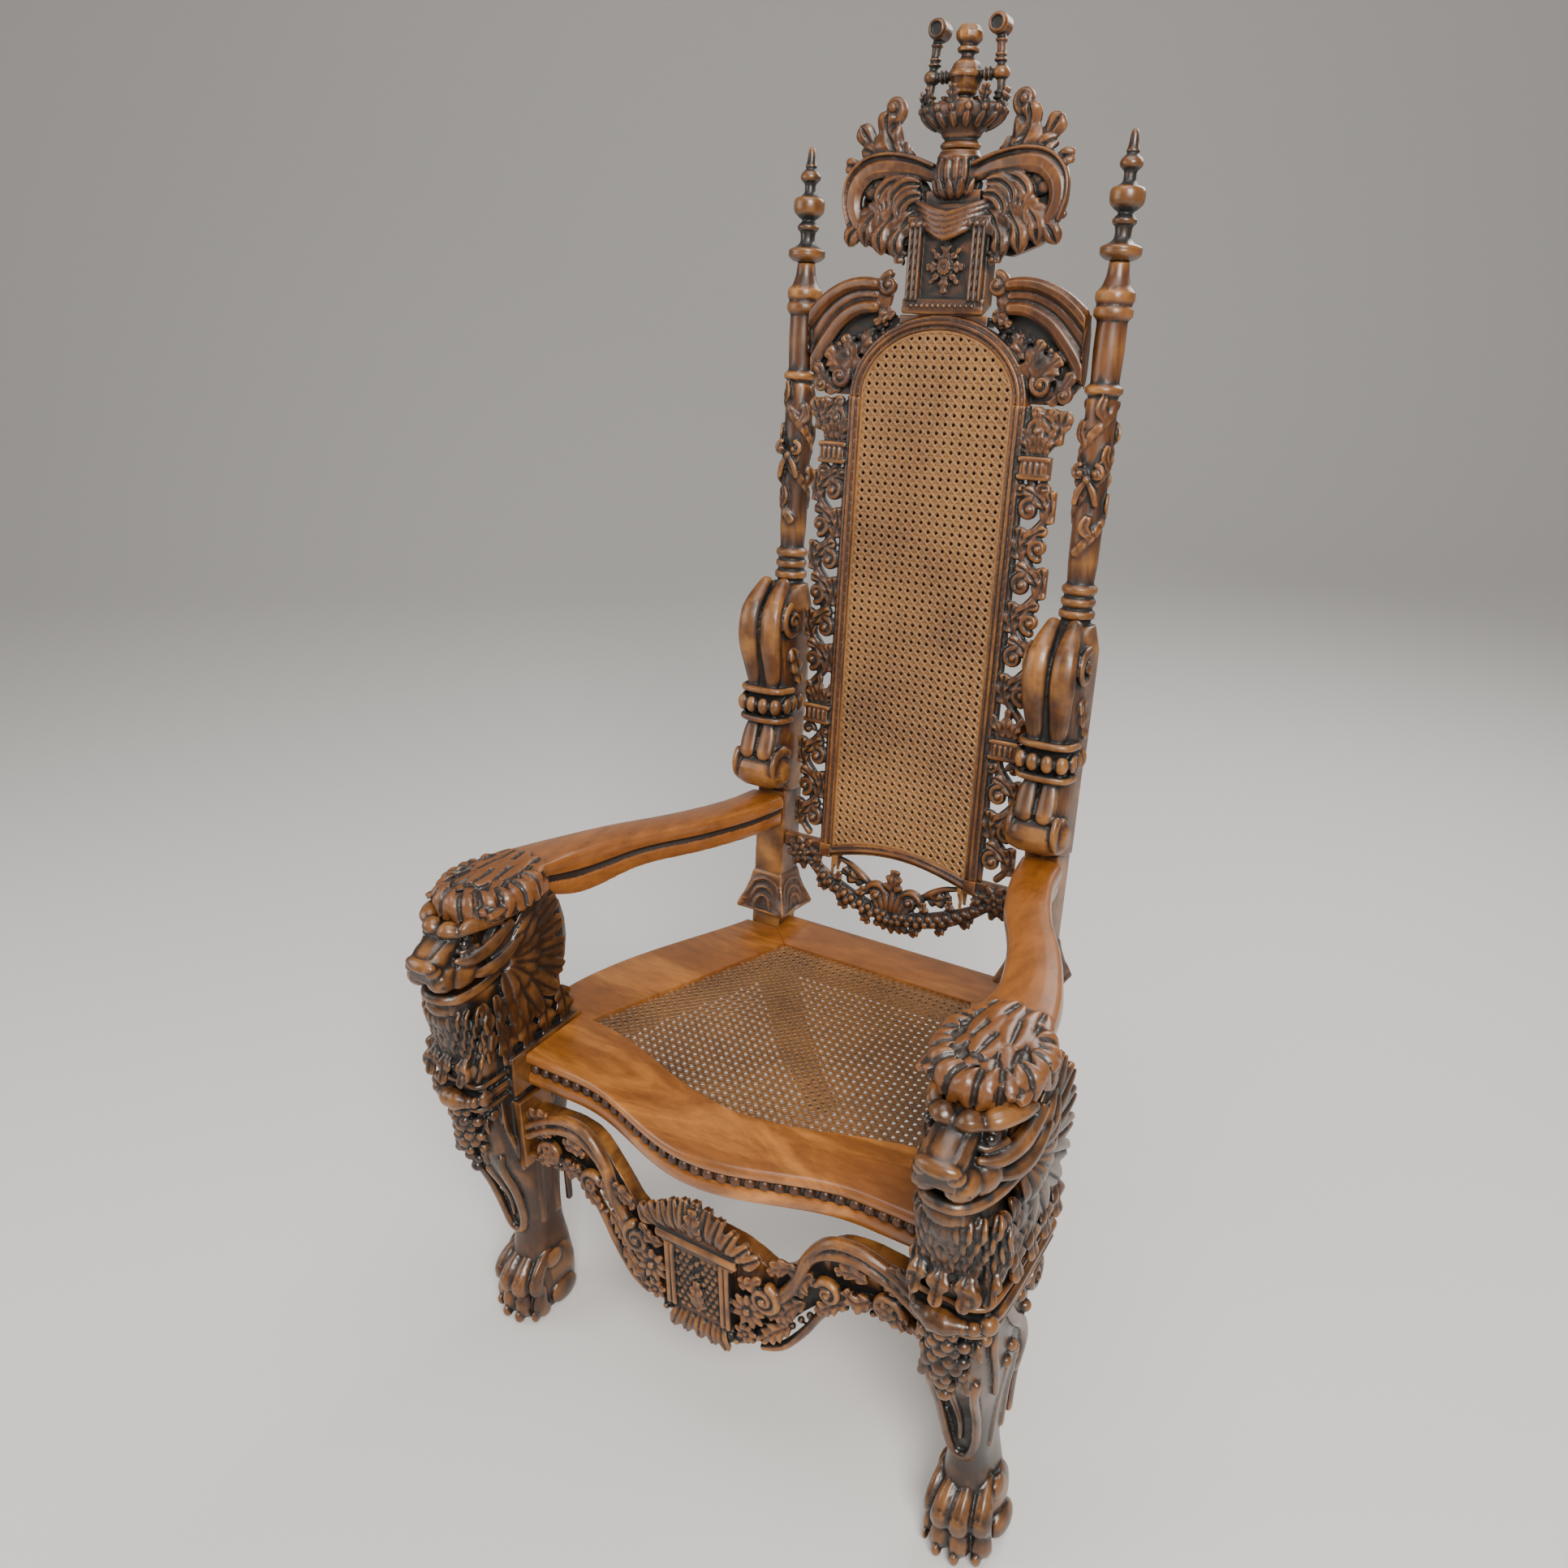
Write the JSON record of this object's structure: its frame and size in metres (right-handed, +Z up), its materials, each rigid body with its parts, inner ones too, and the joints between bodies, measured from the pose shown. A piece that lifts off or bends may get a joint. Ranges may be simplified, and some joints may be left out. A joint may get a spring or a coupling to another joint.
{
  "type": "carved throne",
  "caption": "Tall carved hardwood armchair with lion-headed front legs, turned rear posts, pierced crested back, and woven cane seat and back.",
  "frame": {"origin": "on the floor, under the middle of the throne's overall width and depth", "axes": "+Z up, the sitter faces -Y, +X towards the sitter's left hand, which is the viewer's right from the front"},
  "size_m": [0.86, 0.8, 1.7549],
  "materials": {
    "carved_wood": "dark stained and waxed, worn lighter on the high places",
    "plain_wood": "golden brown satin varnish",
    "cane": "woven rattan cane, aged"
  },
  "bodies": {
    "root": {"lion_leg_right": "carved_wood", "lion_leg_left": "carved_wood", "arm_right": "plain_wood", "arm_left": "plain_wood", "rear_post_right": "carved_wood", "rear_post_left": "carved_wood", "finial_right": "carved_wood", "finial_left": "carved_wood", "seat_rail_front": "plain_wood", "seat_rail_back": "plain_wood", "seat_rail_right": "plain_wood", "seat_rail_left": "plain_wood", "seat_cane": "cane", "back_stile_right": "carved_wood", "back_stile_left": "carved_wood", "back_top_rail": "carved_wood", "back_bottom_rail": "carved_wood", "crest": "carved_wood", "crown": "carved_wood", "back_cane_front": "cane", "back_cane_rear": "cane", "front_apron": "carved_wood"}
  },
  "joints": []
}
